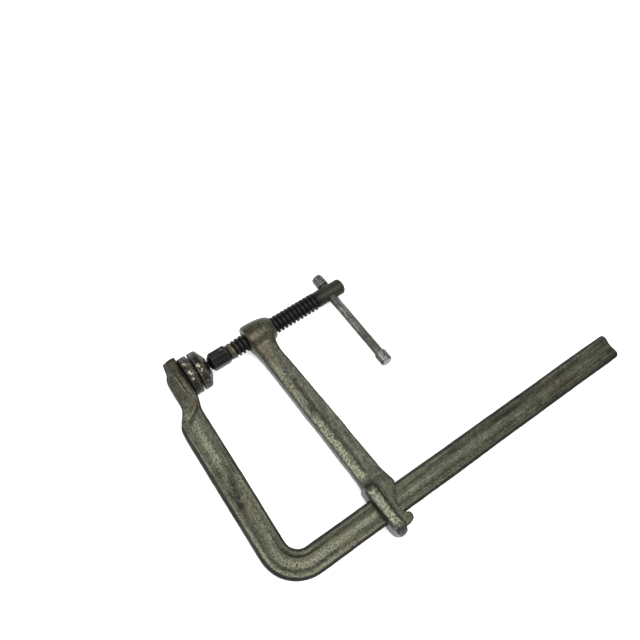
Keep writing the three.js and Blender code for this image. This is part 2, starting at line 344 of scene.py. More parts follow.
def wear_and_shade(o, rub_and_highlight=0.0, side_scale_and_shade=0.0, stain=0.0, dirt_and_shade=0.0, edge=0.0, bare=0.0, hollow_dirt_and_shade=0.8):
    """Stores the masks that the materials read, with worn ridges added and hollows darkened as dirt and
    painted shade.

    The rubbed mask is polished by use plus painted highlights, the side mask dull scale on the sides
    plus painted shade, and bare grey metal. stain is brown on the forgings and the bar, bright spatter on
    the discs and worn-off finish on the black pieces. The dirt mask is dirt plus painted shade.
    """
    bend = convexity(o)
    masks = {
        # lighter where rubbed: polish from use plus painted highlights
        "rub_and_highlight": rub_and_highlight,
        # dull side faces: scale plus painted shade
        "side_scale_and_shade": side_scale_and_shade,
        "bare": bare,
        "stain": stain,
        # darker in hollows and marked places: dirt plus painted shade
        "dirt_and_shade": dirt_and_shade + hollow_dirt_and_shade * smoothstep(0.03, 0.16, -bend),
        "edge": edge * smoothstep(0.04, 0.2, bend),
    }
    for name, values in masks.items():
        layer = o.data.attributes.new(name, "FLOAT", "POINT")
        layer.data.foreach_set("value", np.clip(values + 0 * bend, 0, 1).astype(np.float32))


def flow_along(o, along, across):
    """Stores how the metal's grain runs: along it, across it and through it."""
    layer = o.data.attributes.new("flow", "FLOAT_VECTOR", "POINT")
    flow = np.stack([along, across, points_of(o)[:, 2]], -1) * MM
    layer.data.foreach_set("vector", flow.astype(np.float32).ravel())


# ---------------------------------------------------------------- materials

class Nodes:
    """Small helper for building a material's node tree."""

    def __init__(self, name, seed=0.0):
        self.material = bpy.data.materials.new(name)
        self.material.use_nodes = True
        self.tree = self.material.node_tree
        self.bsdf = self.tree.nodes["Principled BSDF"]
        self.coords = self.tree.nodes.new("ShaderNodeTexCoord").outputs["Object"]
        self.seed = seed

    def node(self, kind, inputs=(), **settings):
        n = self.tree.nodes.new(kind)
        for key, value in settings.items():
            setattr(n, key, value)
        for key, value in dict(inputs).items():
            self.put(n.inputs[key], value)
        return n

    def put(self, socket, value):
        if isinstance(value, bpy.types.NodeSocket):
            self.tree.links.new(value, socket)
        else:
            socket.default_value = value

    def noise(self, scale, detail=4.0, roughness=0.6, stretch=(1, 1, 1), distortion=0.0, along=None):
        self.seed += 1.7
        vector = self.node("ShaderNodeMapping", {
            "Vector": along or self.coords, "Scale": stretch, "Location": (self.seed,) * 3,
        }).outputs[0]
        return self.node("ShaderNodeTexNoise", {
            "Vector": vector, "Scale": scale, "Detail": detail, "Roughness": roughness,
            "Distortion": distortion,
        }).outputs["Fac"]

    def pits(self, scale, size, share):
        """Round pits scattered over the share of the surface that a broad noise picks."""
        cells = self.node("ShaderNodeTexVoronoi", {"Vector": self.coords, "Scale": scale})
        where = self.ramp(self.noise(55, 3), (share, 0.0), (share + 0.12, 1.0))
        return self.times(self.ramp(cells.outputs["Distance"], (size * 0.45, 1.0), (size, 0.0)), where)

    def ramp(self, factor, *stops):
        n = self.node("ShaderNodeValToRGB", {"Fac": factor})
        ramp = n.color_ramp
        while len(ramp.elements) < len(stops):
            ramp.elements.new(0.5)
        for element, (position, colour) in zip(ramp.elements, stops):
            element.position = position
            element.color = (*colour, 1) if isinstance(colour, tuple) else (colour,) * 3 + (1,)
        return n.outputs["Color"]

    def times(self, a, b):
        n = self.node("ShaderNodeMath", {0: a, 1: b}, operation="MULTIPLY", use_clamp=True)
        return n.outputs[0]

    def blend(self, *terms):
        """Sum of (source, weight) pairs."""
        total = self.times(*terms[0])
        for source, weight in terms[1:]:
            n = self.node("ShaderNodeMath", {0: source, 1: weight, 2: total}, operation="MULTIPLY_ADD")
            total = n.outputs[0]
        return total

    def mix(self, factor, a, b):
        n = self.node("ShaderNodeMix", data_type="RGBA")
        self.put(n.inputs[0], factor)
        for index, value in ((6, a), (7, b)):
            self.put(n.inputs[index], (*value, 1) if isinstance(value, tuple) else value)
        return n.outputs[2]

    def mask(self, name):
        return self.node("ShaderNodeAttribute", attribute_name=name).outputs["Fac"]

    def coat(self, colour, name, pattern, over):
        """Lays a colour over the places that a stored mask holds, broken up by a pattern."""
        return self.mix(self.times(self.mask(name), pattern), colour, over)

    def finish(self, colour, roughness, metallic, height, depth):
        self.put(self.bsdf.inputs["Base Color"], colour)
        self.put(self.bsdf.inputs["Roughness"], roughness)
        self.put(self.bsdf.inputs["Metallic"], metallic)
        bump = self.node("ShaderNodeBump", {"Height": height, "Strength": 1.0, "Distance": depth})
        self.put(self.bsdf.inputs["Normal"], bump.outputs[0])
        return self.material


def scaled(colour, factor):
    return tuple(c * factor for c in colour)


def forged(name, dark, mid, light, polish, spots, streak, grain, brown, seed):
    """Forged steel with mottled scale, rubbed faces with painted highlights, dull flanks with painted
    shade, pits and streaks along the grain.

    polish brightens the rubbed and highlighted faces and spots darkens specks on them. streak is the
    weight of the streaks and grain their scale along the flow. brown is how strongly the rust patches show.
    """
    n = Nodes(name, seed)
    flow = n.node("ShaderNodeAttribute", attribute_name="flow").outputs["Vector"]
    broad, cloud = n.noise(22, 3, 0.6), n.noise(95, 5, 0.7, distortion=0.5)
    speckle, fleck = n.noise(330, 3, 0.75, distortion=0.3), n.noise(680, 2, 0.6)
    grit, lines = n.noise(1500, 2, 0.7), n.noise(1, 4, 0.65, stretch=grain, along=flow)
    tone = n.blend((broad, 0.13), (cloud, 0.22), (speckle, 0.13), (fleck, 0.34 - streak), (grit, 0.18),
                   (lines, streak))
    colour = n.ramp(tone, (0.43, scaled(dark, 0.5)), (0.475, scaled(dark, 0.95)), (0.52, mid),
                    (0.58, scaled(light, 1.05)))
    rust = n.ramp(n.noise(38, 5, 0.72), (0.52, 0.0), (0.66, brown))
    colour = n.mix(rust, colour, (0.05, 0.038, 0.022))
    # painted highlight and polish on the rubbed faces
    colour = n.coat(colour, "rub_and_highlight", n.ramp(fleck, (0.42, 0.1), (0.56, 1.0)), scaled(light, polish))
    colour = n.mix(n.ramp(lines, (0.6, 0.0), (0.7, 0.3)), colour, scaled(light, 1.3))
    colour = n.coat(colour, "edge", n.ramp(cloud, (0.4, 0.1), (0.58, 0.8)), scaled(light, 1.5))
    # dull scale on the sides, darkened further as painted shade
    dull = n.ramp(cloud, (0.35, 1.0), (0.7, 0.75))
    scale = n.ramp(cloud, (0.4, (0.009, 0.009, 0.009)), (0.56, (0.022, 0.022, 0.0205)))
    colour = n.coat(colour, "side_scale_and_shade", dull, scale)
    grey = n.ramp(speckle, (0.4, (0.026, 0.026, 0.024)), (0.56, (0.056, 0.057, 0.053)))
    colour = n.coat(colour, "bare", dull, grey)
    colour = n.coat(colour, "stain", n.ramp(cloud, (0.38, 0.15), (0.58, 0.8)), (0.065, 0.045, 0.026))
    pits = n.pits(260.0, 0.2, 0.48)
    colour = n.mix(n.times(pits, 0.75), colour, scaled(dark, 0.25))
    flecks = n.times(n.ramp(speckle, (0.4, 1.0), (0.46, 0.0)), n.mask("rub_and_highlight"))
    colour = n.mix(n.times(flecks, spots), colour, scaled(dark, 0.5))
    # darker places: dirt plus painted shade
    colour = n.coat(colour, "dirt_and_shade", n.ramp(speckle, (0.4, 1.0), (0.66, 0.55)), scaled(dark, 0.3))
    roughness = n.blend((cloud, 0.35), (grit, 0.25), (n.mask("side_scale_and_shade"), 0.15), (pits, 0.15), (broad, 0.3))
    height = n.blend((cloud, 0.4), (speckle, 0.3), (fleck, 0.2), (grit, 0.1), (pits, -0.35))
    return n.finish(colour, roughness, n.ramp(cloud, (0.3, 0.72), (0.6, 0.88)), height, 0.0006)


def scorched(name, seed):
    """Dark scaled steel with weld spatter and a little rust."""
    n = Nodes(name, seed)
    cloud, grit = n.noise(170, 5, 0.75, distortion=0.6), n.noise(700, 3, 0.75)
    tone = n.blend((cloud, 0.6), (grit, 0.4))
    colour = n.ramp(tone, (0.42, (0.004, 0.004, 0.0035)), (0.5, (0.013, 0.0125, 0.01)),
                    (0.56, (0.036, 0.0325, 0.022)), (0.63, (0.11, 0.102, 0.074)))
    colour = n.mix(n.ramp(n.noise(120, 4, 0.7), (0.56, 0.0), (0.7, 0.4)), colour, (0.05, 0.028, 0.014))
    # lighter rubbed places: polish plus painted highlights
    colour = n.coat(colour, "rub_and_highlight", n.ramp(grit, (0.4, 0.1), (0.56, 1.0)), (0.19, 0.178, 0.135))
    colour = n.coat(colour, "edge", n.ramp(grit, (0.42, 0.0), (0.6, 0.8)), (0.095, 0.089, 0.066))
    colour = n.coat(colour, "stain", n.ramp(grit, (0.42, 0.1), (0.55, 1.0)), (0.46, 0.425, 0.32))
    # darker places: dirt plus painted shade
    colour = n.coat(colour, "dirt_and_shade", n.ramp(cloud, (0.3, 0.95), (0.7, 0.7)), (0.005, 0.005, 0.004))
    height = n.blend((cloud, 0.6), (grit, 0.4))
    roughness = n.blend((grit, 0.4), (cloud, 0.45), (n.mask("stain"), 0.1), (n.mask("dirt_and_shade"), 0.2))
    return n.finish(colour, roughness, n.ramp(cloud, (0.3, 0.72), (0.65, 0.88)), height, 0.0008)


def blackened(name, olive, seed):
    """Black oxide: oily, greyed where rubbed and where highlights are painted, olive brown where the finish
    has worn off.
    """
    n = Nodes(name, seed)
    cloud, grit = n.noise(130, 5, 0.7), n.noise(800, 3, 0.75)
    colour = n.ramp(cloud, (0.38, (0.003, 0.003, 0.0033)), (0.52, (0.008, 0.008, 0.0078)),
                    (0.66, (0.017, 0.0166, 0.0147)))
    colour = n.mix(n.ramp(n.noise(75, 4, 0.7), (0.5, 0.0), (0.64, olive)), colour, (0.026, 0.024, 0.016))
    # greyed: rubbing plus painted highlights
    colour = n.coat(colour, "rub_and_highlight", n.ramp(grit, (0.4, 0.1), (0.58, 0.9)), (0.033, 0.0325, 0.03))
    colour = n.coat(colour, "edge", n.ramp(grit, (0.42, 0.1), (0.58, 1.0)), (0.1, 0.098, 0.09))
    colour = n.coat(colour, "stain", n.ramp(grit, (0.36, 0.3), (0.58, 1.0)), (0.15, 0.138, 0.086))
    # darker places: dirt plus painted shade
    colour = n.coat(colour, "dirt_and_shade", n.ramp(cloud, (0.3, 0.95), (0.7, 0.75)), (0.003, 0.003, 0.003))
    roughness = n.blend((cloud, 0.5), (grit, 0.45), (n.mask("dirt_and_shade"), 0.25), (n.mask("stain"), 0.1))
    height = n.blend((cloud, 0.4), (grit, 0.6))
    n.bsdf.inputs["Specular IOR Level"].default_value = 0.25
    return n.finish(colour, roughness, n.ramp(cloud, (0.3, 0.6), (0.7, 0.8)), height, 0.0003)


def handled(name, grain, seed):
    """Bare bar steel, turned, dulled and smudged by hands."""
    n = Nodes(name, seed)
    cloud, grit = n.noise(85, 6, 0.72, distortion=0.4), n.noise(620, 3, 0.75)
    lines = n.noise(1, 3, 0.65, stretch=grain)
    tone = n.blend((cloud, 0.42), (lines, 0.4), (grit, 0.18))
    colour = n.ramp(tone, (0.4, (0.034, 0.033, 0.028)), (0.48, (0.075, 0.075, 0.065)),
                    (0.54, (0.12, 0.12, 0.105)), (0.62, (0.3, 0.3, 0.275)))
    colour = n.mix(n.ramp(n.noise(60, 4, 0.7), (0.54, 0.0), (0.68, 0.55)), colour, (0.05, 0.042, 0.03))
    colour = n.coat(colour, "edge", n.ramp(grit, (0.4, 0.2), (0.62, 0.8)), (0.3, 0.3, 0.28))
    colour = n.coat(colour, "stain", n.ramp(cloud, (0.35, 0.5), (0.6, 0.95)), (0.05, 0.043, 0.032))
    colour = n.coat(colour, "dirt_and_shade", n.ramp(grit, (0.3, 0.95), (0.7, 0.75)), (0.008, 0.008, 0.007))
    roughness = n.blend((cloud, 0.35), (lines, 0.2), (grit, 0.15), (n.mask("stain"), 0.15),
                        (n.mask("dirt_and_shade"), 0.2))
    height = n.blend((lines, 0.4), (cloud, 0.3), (grit, 0.3))
    return n.finish(colour, roughness, n.ramp(cloud, (0.3, 0.7), (0.6, 0.92)), height, 0.00025)


# ---------------------------------------------------------------- frame: rail, bend, fixed arm

# The fixed arm's tip: [y, inner x, outer x, half thickness at the edges, at the middle, corner radius]
TIP = [
    [TIP_START_Y, ARM_INNER_X, ARM_INNER_X - RAIL_WIDTH, EDGE_HALF, MIDDLE_HALF, BAR_CORNER],
    [-38.5, -10.6, -34, 6, 4.7, 3.0],
    [-32, -10.5, -31, 6, 5.2, 2.9],
    [-27, -9.6, -27.3, 6.1, 6.6, 2.6],
    [-22, -8.2, -24.9, 6.3, 7.8, 1.9],
    [-17, -7.6, -24.1, 6.4, 8, 1.4],
    [2, -7.6, -24, 6.4, 8, 1.4],
    [6, -7.6, -23, 6.4, 8, 1.4],
    [10, -7.6, -20.9, 6.3, 7.9, 1.4],
    [13, -7.6, -20.2, 6.2, 7.8, 1.4],
    [17, -7.6, -19.6, 6.1, 7.5, 1.5],
    [19.2, -7.7, -19, 5.6, 6.8, 1.6],
    [20.2, -8.1, -18.4, 4.9, 5.9, 1.6],
    [TIP_END_Y, -9.2, -17.2, 4.0, 4.8, 1.6],
]
# The rail's rounded end: [back from the end, inset from the sides, half thickness, corner radius]
RAIL_END = [
    [0, 3.1, 4.9, 1.9],
    [0.12, 2.3, 5.3, 2.2],
    [0.45, 1.5, 5.7, 2.5],
    [1.0, 0.8, 5.9, 2.8],
    [1.8, 0.3, 6, 2.9],
    [2.8, 0.05, 6, 3.0],
]
# Paths in plan on the fixed arm's faces. The pits are on the upper face only.
SCALE_PITS = [(-21.9, -93), (-22.3, -98), (-23.2, -105), (-23.8, -111), (-24.4, -116)]
INNER_GLOSS = [(-15, -94), (-16, -104), (-17, -118), (-18, -132), (-18.5, -150)]
CREASE = [(-15.6, 4), (-14.9, -8), (-13.4, -18), (-12.4, -24.5), (-14.6, -27.4), (-19, -30), (-24.5, -34)]
CREASE_FOOT = [(x - 0.4, y - 2.4) for x, y in CREASE[-4:]]
CREASE_RUST = [(-12.9, -21), (-12.4, -25), (-13.6, -28)]


def bar_section(width, edge, middle, corner, tip_y):
    """Rows of (distance from the inner edge, half thickness) across the bar's upper side.

    The face is hollow, and towards the tip's end it becomes a ridge; tip_y is None away from the tip.
    """
    angles = np.linspace(0, math.pi / 2, 8)
    u = np.concatenate([corner * (1 - np.cos(angles)), np.linspace(corner, width / 2, 19)[1:]])
    u = np.concatenate([u, (width - u)[::-1][1:]])
    near = np.minimum(u, width - u)
    rounding = np.sqrt(np.maximum(corner**2 - np.maximum(corner - near, 0) ** 2, 0))
    arc = edge - corner + rounding
    hollow = arc - (edge - middle) * smoothstep(0.14, 0.42, near / width)
    if tip_y is None:
        return u, hollow
    ridge = np.minimum(arc + 0.3 * smoothstep(0, corner, near),
                       edge - 0.5 + (middle - edge + 0.5) * (2 * near / width) ** 0.9)
    amount = smoothstep(-1.6, 1.6, tip_y - CREASE_Y + CREASE_DROP * (u / width))
    return u, hollow * (1 - amount) + ridge * amount


def bar_ring(inner, outer, edge=EDGE_HALF, middle=MIDDLE_HALF, corner=BAR_CORNER, tip_y=None):
    inner, outer = np.array(inner, float), np.array(outer, float)
    width = np.linalg.norm(outer - inner)
    u, z = bar_section(width, edge, middle, corner, tip_y)
    xy = inner + (u / width)[:, None] * (outer - inner)
    return np.vstack([np.column_stack([xy, z]), np.column_stack([xy, -z])[::-1]])


def rail_rings():
    rings = []
    for back, inset, edge, corner in RAIL_END:
        x = RAIL_END_X - back
        inner, outer = [x, -THROAT - inset], [x, -THROAT - RAIL_WIDTH + inset]
        rings.append(bar_ring(inner, outer, edge, edge - HOLLOW, corner))
    for x in np.arange(RAIL_END_X - 4, 4.0, -RING_STEP):
        sway = 0.25 * noise.noise(Vector((x / 60, 2.2, 0)))
        rings.append(bar_ring([x, -THROAT + sway], [x, -THROAT - RAIL_WIDTH + sway]))
    return rings


def bend_rings():
    rings = []
    centre = np.array(BEND_CENTRE)
    for t in np.linspace(0, 1, 44):
        angle = -math.pi / 2 * (1 + t)
        ray = np.array([math.cos(angle), math.sin(angle)])
        swell = math.sin(math.pi * t)
        outer_radius = BEND_RADIUS + RAIL_WIDTH + 0.3 * swell
        rings.append(bar_ring(centre + BEND_RADIUS * ray, centre + outer_radius * ray,
                              EDGE_HALF + 0.15 * swell, MIDDLE_HALF - 0.3 * swell))
    return rings


def fixed_arm_rings():
    rings = []
    for y in np.arange(-156.5, TIP_START_Y, RING_STEP):
        rings.append(bar_ring([ARM_INNER_X, y], [ARM_INNER_X - RAIL_WIDTH, y]))
    heights = np.concatenate([np.arange(TIP_START_Y + 1, 18, 0.8), np.linspace(18, TIP_END_Y, 10)])
    for y, (inner, outer, edge, middle, corner) in zip(heights, curve_through(TIP, heights)):
        rings.append(bar_ring([inner, y], [outer, y], edge, middle, corner, y))
    return rings


def along_bar(p):
    """Distance across the bar from its inner edge, and along it from where the rail leaves the bend.

    The second is above nought on the rail and below it round the bend and up the fixed arm.
    """
    dx, dy = p[:, 0] - BEND_CENTRE[0], p[:, 1] - BEND_CENTRE[1]
    turned_share = np.arctan2(-dx, -dy) / (math.pi / 2)
    past_bend = np.where(dy > 0, ARM_INNER_X - p[:, 0], np.hypot(dx, dy) - BEND_RADIUS)
    across = np.where(dx > 0, -THROAT - p[:, 1], past_bend)
    past_bend = np.where(dy > 0, -BEND_LENGTH - dy, -BEND_LENGTH * turned_share)
    along = np.where(dx > 0, dx, past_bend)
    return across, along


def frame_relief(p, across, along, face):
    """The grooves, the crease and the pits on the frame's faces, each from nought to one."""
    wander = noise_at(zip(along / 14, np.full(len(p), 4.4), np.sign(p[:, 2])))
    groove = stripe(across + 0.5 * wander, 6.9, 0.9) * face * keyed(
        along, (-200, 0), (-125, 0.05), (-80, 0.15), (-48, 0.6), (-20, 1), (0, 0.8), (16, 0.35),
        (40, 0), (340, 0))
    valley = stripe(across + 1.6 * wander, 13.2, 1.6) * face * keyed(
        along, (-200, 0), (-112, 0), (-100, 0.5), (-60, 0.9), (-42, 0.6), (-25, 0), (340, 0))
    crease, foot = near_path(p, CREASE, 0.75) * face, near_path(p, CREASE_FOOT, 1.0) * face
    specks = smoothstep(-0.25, 0.05, noise_at(p / 2.2))
    pitted = near_path(p, SCALE_PITS, 1.7) * specks * face * (p[:, 2] > 0)
    return groove, valley, crease, foot, pitted


def frame_rub_and_highlight(p, across, along):
    """Where the frame's faces are lighter: rubbed bright by handling and sliding, plus painted highlights
    along the middle of the face and near its outer edge.
    """
    middle = stripe(across, 11.8, 4.3) * keyed(
        along, (-215, 0.05), (-182, 0.1), (-168, 0.7), (-125, 0.85), (-112, 0.15), (-60, 0.12),
        (-42, 0.35), (0, 0.65), (45, 0.45), (80, 0.2), (150, 0.2), (260, 0.1), (340, 0.05))
    outer = stripe(across, 19.6, 2.1) * keyed(
        along, (-215, 0), (-120, 0.15), (-70, 0.7), (-30, 1.2), (10, 1.0), (70, 0.4), (340, 0.05))
    thin = stripe(across, 18.2, 0.4) * keyed(along, (-215, 0), (30, 0), (80, 0.4), (220, 0.7), (340, 1))
    return 0.9 * middle + 0.6 * outer + thin + 0.5 * near_path(p, INNER_GLOSS, 3.2)


def build_frame():
    o = obj(grid_mesh(rail_rings() + bend_rings() + fixed_arm_rings(), "frame_forging"), "frame_forging")
    p, normals = points_of(o), normals_of(o)
    upright = np.abs(normals[:, 2])
    face = smoothstep(0.6, 0.95, upright)
    across, along = along_bar(p)
    groove, valley, crease, foot, pitted = frame_relief(p, across, along, face)
    p += normals * (0.55 * crease - 0.6 * foot - 0.45 * groove - 0.3 * valley - 0.6 * pitted)[:, None]
    outer_x = curve_through(TIP, np.clip(p[:, 1], TIP_START_Y, TIP_END_Y))[:, 1]
    bevel = smoothstep(2, 6, p[:, 1]) * smoothstep(4.2, 0.6, p[:, 0] - outer_x)
    p[:, 2] *= 1 - 0.5 * bevel
    set_points(o, p)
    roughen(o, [(46, 0.3), (11, 0.18), (4.2, 0.12), (2.2, 0.06)], 11.3)

    x, y = p[:, 0], p[:, 1]
    tip = smoothstep(-34, -26, y)
    cheek = tip * smoothstep(-14.5, -12, x) * smoothstep(-26, -14, y) * smoothstep(4, -8, y)
    # lighter rubbed faces, crease ridge and cheek by the disc: wear plus painted highlights
    rub_and_highlight = face * frame_rub_and_highlight(p, across, along) + crease + 0.3 * cheek * face
    # painted shade on the face's rounded edges, as a band along both sides
    edge_band_shade = np.maximum(smoothstep(20.6, 22.4, across), smoothstep(1.8, 0.9, across)) * (1 - tip) * face
    # the sides: dull scale darkened further as painted shade
    side = smoothstep(0.9, 0.45, upright) * (1 - 0.9 * bevel)
    side_scale_and_shade = (0.95 - 0.35 * smoothstep(0.35, 0.1, upright)) * side + edge_band_shade
    stain = 0.25 * tip + 0.35 * crease + 0.8 * near_path(p, CREASE_RUST, 1.1)
    # painted shade, darker strips and patches: by the inner edge, along the rail's far part, on the tip, at
    # the end's corner and along the outer strip
    inner_edge = 0.14 * smoothstep(6.6, 5.2, across) * smoothstep(-60, 20, along)
    rail = 0.16 * smoothstep(50, 110, along)
    outer_strip = 0.42 * smoothstep(18.4, 19.2, across) * smoothstep(150, 260, along)
    end_corner = 0.4 * stripe(along, 330, 5) * smoothstep(15, 21, across)
    tip_shade = 0.4 * tip * (1 - 0.8 * cheek) * (1 - crease)
    shadow = inner_edge + rail + tip_shade + end_corner + outer_strip
    # darker grooves, valley, crease foot and pits, plus the painted shade above
    dirt_and_shade = 0.6 * (groove + valley + foot) + 0.95 * pitted + face * shadow + 0.3 * edge_band_shade
    wear_and_shade(o, rub_and_highlight=rub_and_highlight, side_scale_and_shade=side_scale_and_shade, stain=stain, dirt_and_shade=dirt_and_shade, edge=0.5, bare=bevel)
    flow_along(o, along, across)
    return o


# ---------------------------------------------------------------- sliding arm

# Sections of the arm: [y, left x, rib's right x, right x, rib half thickness, web half thickness]
STATIONS = [
    [-168, 64, 75, 90.6, 8.5, 8.5],
    [-165, 64, 75, 90.4, 8.4, 8.4],
    [-161, 64.2, 74.5, 89.8, 7.8, 7.7],
    [-157, 64.5, 74, 88.8, 6.6, 6.7],
    [-153, 64.6, 74, 88.2, 6.4, 5.9],
    [-148, 64.4, 73.8, 87.5, 6.9, 5.2],
    [-140, 63.9, 73.2, 86.6, 7, 5],
    [-120, 62.4, 71.6, 84.6, 7, 4.9],
    [-90, 60, 69, 81.6, 7, 5],
    [-60, 57.5, 66.4, 78, 7.1, 5.7],
    [-34, 55.4, 64.9, 75.2, 7.7, 7.1],
    [-22, 54.5, 66, 73.4, 8.5, 7.9],
    [-15, 53.7, 69.5, 73.9, 9.2, 8.3],
    [-10, 53.1, 71, 75, 9.6, 8.4],
    [-4, 53, 71, 75, 9.5, 8],
]
ARM_LOW_Y, ARM_HIGH_Y = STATIONS[0][0], STATIONS[-1][0]
# The boss is turned from [x, radius] rows, and the flange and the bridge are plates over [x, y] outlines.
BOSS = [
    [52, 11.6], [52.2, 12.5], [52.9, 13.3], [54.5, 13.8], [57, 13.9], [62, 13.9], [66, 13.5], [70, 13],
    [75, 11.8], [78, 10.3], [79.2, 9.4], [79.5, 8.6],
]
FLANGE = [
    [64.2, -164.5], [76, -164.5], [90.2, -164.5], [90.8, -168], [89.4, -171.6], [86.4, -174.6],
    [83.6, -179], [82, -184], [81.8, -189], [83, -193.2], [85.4, -194.4], [87.2, -195.6], [87.8, -199],
    [86.2, -202], [82, -203.6], [74, -204], [67, -203.6], [65.6, -190], [64, -172],
]
BRIDGE = [
    [65, -159.8], [69, -159.3], [72.6, -159.8], [74.6, -165], [75.2, -178], [75.9, -192], [77.6, -202],
    [76.6, -206.4], [73.4, -208.8], [70, -208.6], [67.4, -205.6], [66.2, -200], [65.4, -190],
    [64.6, -180], [63.6, -168], [63.6, -162],
]
BRIDGE_LEVELS = [(6, 0), (9, 0.1), (12, 0.5), (13.5, 1.0), (14.2, 1.6), (BRIDGE_HALF, 2.6)]


def arm_ring(y, left, rib_right, right, rib, web):
    """A section of the arm: a thick rib on the left and a thinner web with a lip on the right."""
    def between(share):
        return share * rib + (1 - share) * web

    rows = [
        (left, 0.25), (left, 0.45 * rib), (left + 0.2, 0.74 * rib), (left + 0.7, 0.9 * rib),
        (left + 1.6, 0.985 * rib), (left + 2.8, rib),
        (rib_right - 2.6, rib), (rib_right - 1.2, between(0.93)), (rib_right, between(0.66)),
        (rib_right + 1.1, between(0.3)), (rib_right + 2.4, between(0.07)),
        (right - 2.6, web), (right - 1.5, web + 0.25), (right - 0.7, web + 0.1),
        (right - 0.15, 0.6 * web), (right, 0.25),
    ]
    return [[x, y, z] for x, z in rows] + [[x, y, -z] for x, z in reversed(rows)]


def rounded(half, radius):
    """Rows of [z, inset] for a plate's upper half with a rounded rim."""
    angles = np.linspace(0, math.pi / 2, 5)
    return [(half - radius * (1 - math.sin(a)), radius * (1 - math.cos(a))) for a in angles]


def plate_mesh(outline, levels, name):
    """A plate over this XY outline; levels are [z, inset] rows for its upper half."""
    outline = np.asarray(outline, float)
    after, before = np.roll(outline, -1, 0), np.roll(outline, 1, 0)
    turn = np.sign((outline[:, 0] * after[:, 1] - outline[:, 1] * after[:, 0]).sum())
    along = after - before
    outward = turn * np.column_stack([along[:, 1], -along[:, 0]])
    outward /= np.linalg.norm(outward, axis=1, keepdims=True)
    levels = [(-z, inset) for z, inset in reversed(levels)] + list(levels)
    rings = [np.column_stack([outline - outward * inset, np.full(len(outline), z)]) for z, inset in levels]
    return grid_mesh(rings, name)


def arm_skin():
    """The forging's lofted arm, boss, flange and bridge, blended into one skin."""
    ys = np.concatenate([np.arange(ARM_HIGH_Y, -60, -2), np.arange(-60, -140, -4),
                         np.arange(-140, ARM_LOW_Y - 0.1, -1)])
    arm = grid_mesh([arm_ring(y, *row) for y, row in zip(ys, curve_through(STATIONS, ys))], "arm")
    boss = grid_mesh(lathe_rings(BOSS, 64), "boss")
    flange = plate_mesh(FLANGE, rounded(8.5, 1.2), "flange")
    bridge = plate_mesh(BRIDGE, BRIDGE_LEVELS, "bridge")
    o = joined([arm, boss, flange, bridge], "sliding_forging")
    return applied(o, "REMESH", mode="VOXEL", voxel_size=0.6 * MM)


def quarter_round(depth):
    """Height left on a rounded end, depth being how far in it is as a share of the rounding."""
    return np.sqrt(np.clip(1 - np.clip(depth, 0, 1) ** 2, 0, 1))


def round_bridge(o):
    """Rounds the bridge's two ends over, and smooths the arm where it meets the bridge and the boss."""
    p = points_of(o)
    y = p[:, 1]
    outer_end = quarter_round((-194.5 - y) / 14.4)
    inner_end = 0.62 + 0.38 * quarter_round((y + 166) / 7)
    limit = np.where(y < -158, BRIDGE_HALF * outer_end * inner_end, 20)
    p[:, 2] = np.clip(p[:, 2], -limit, limit)
    set_points(o, p)
    valley = smoothstep(-172, -162, y) * smoothstep(-146, -154, y) * (np.abs(p[:, 2]) < 9.5)
    neck = smoothstep(-60, -24, y) * smoothstep(-4, -11, y)
    relax(o, np.clip(0.9 * valley + 0.9 * neck, 0, 1), 40)
    relax(o, np.ones(len(p)), 5)


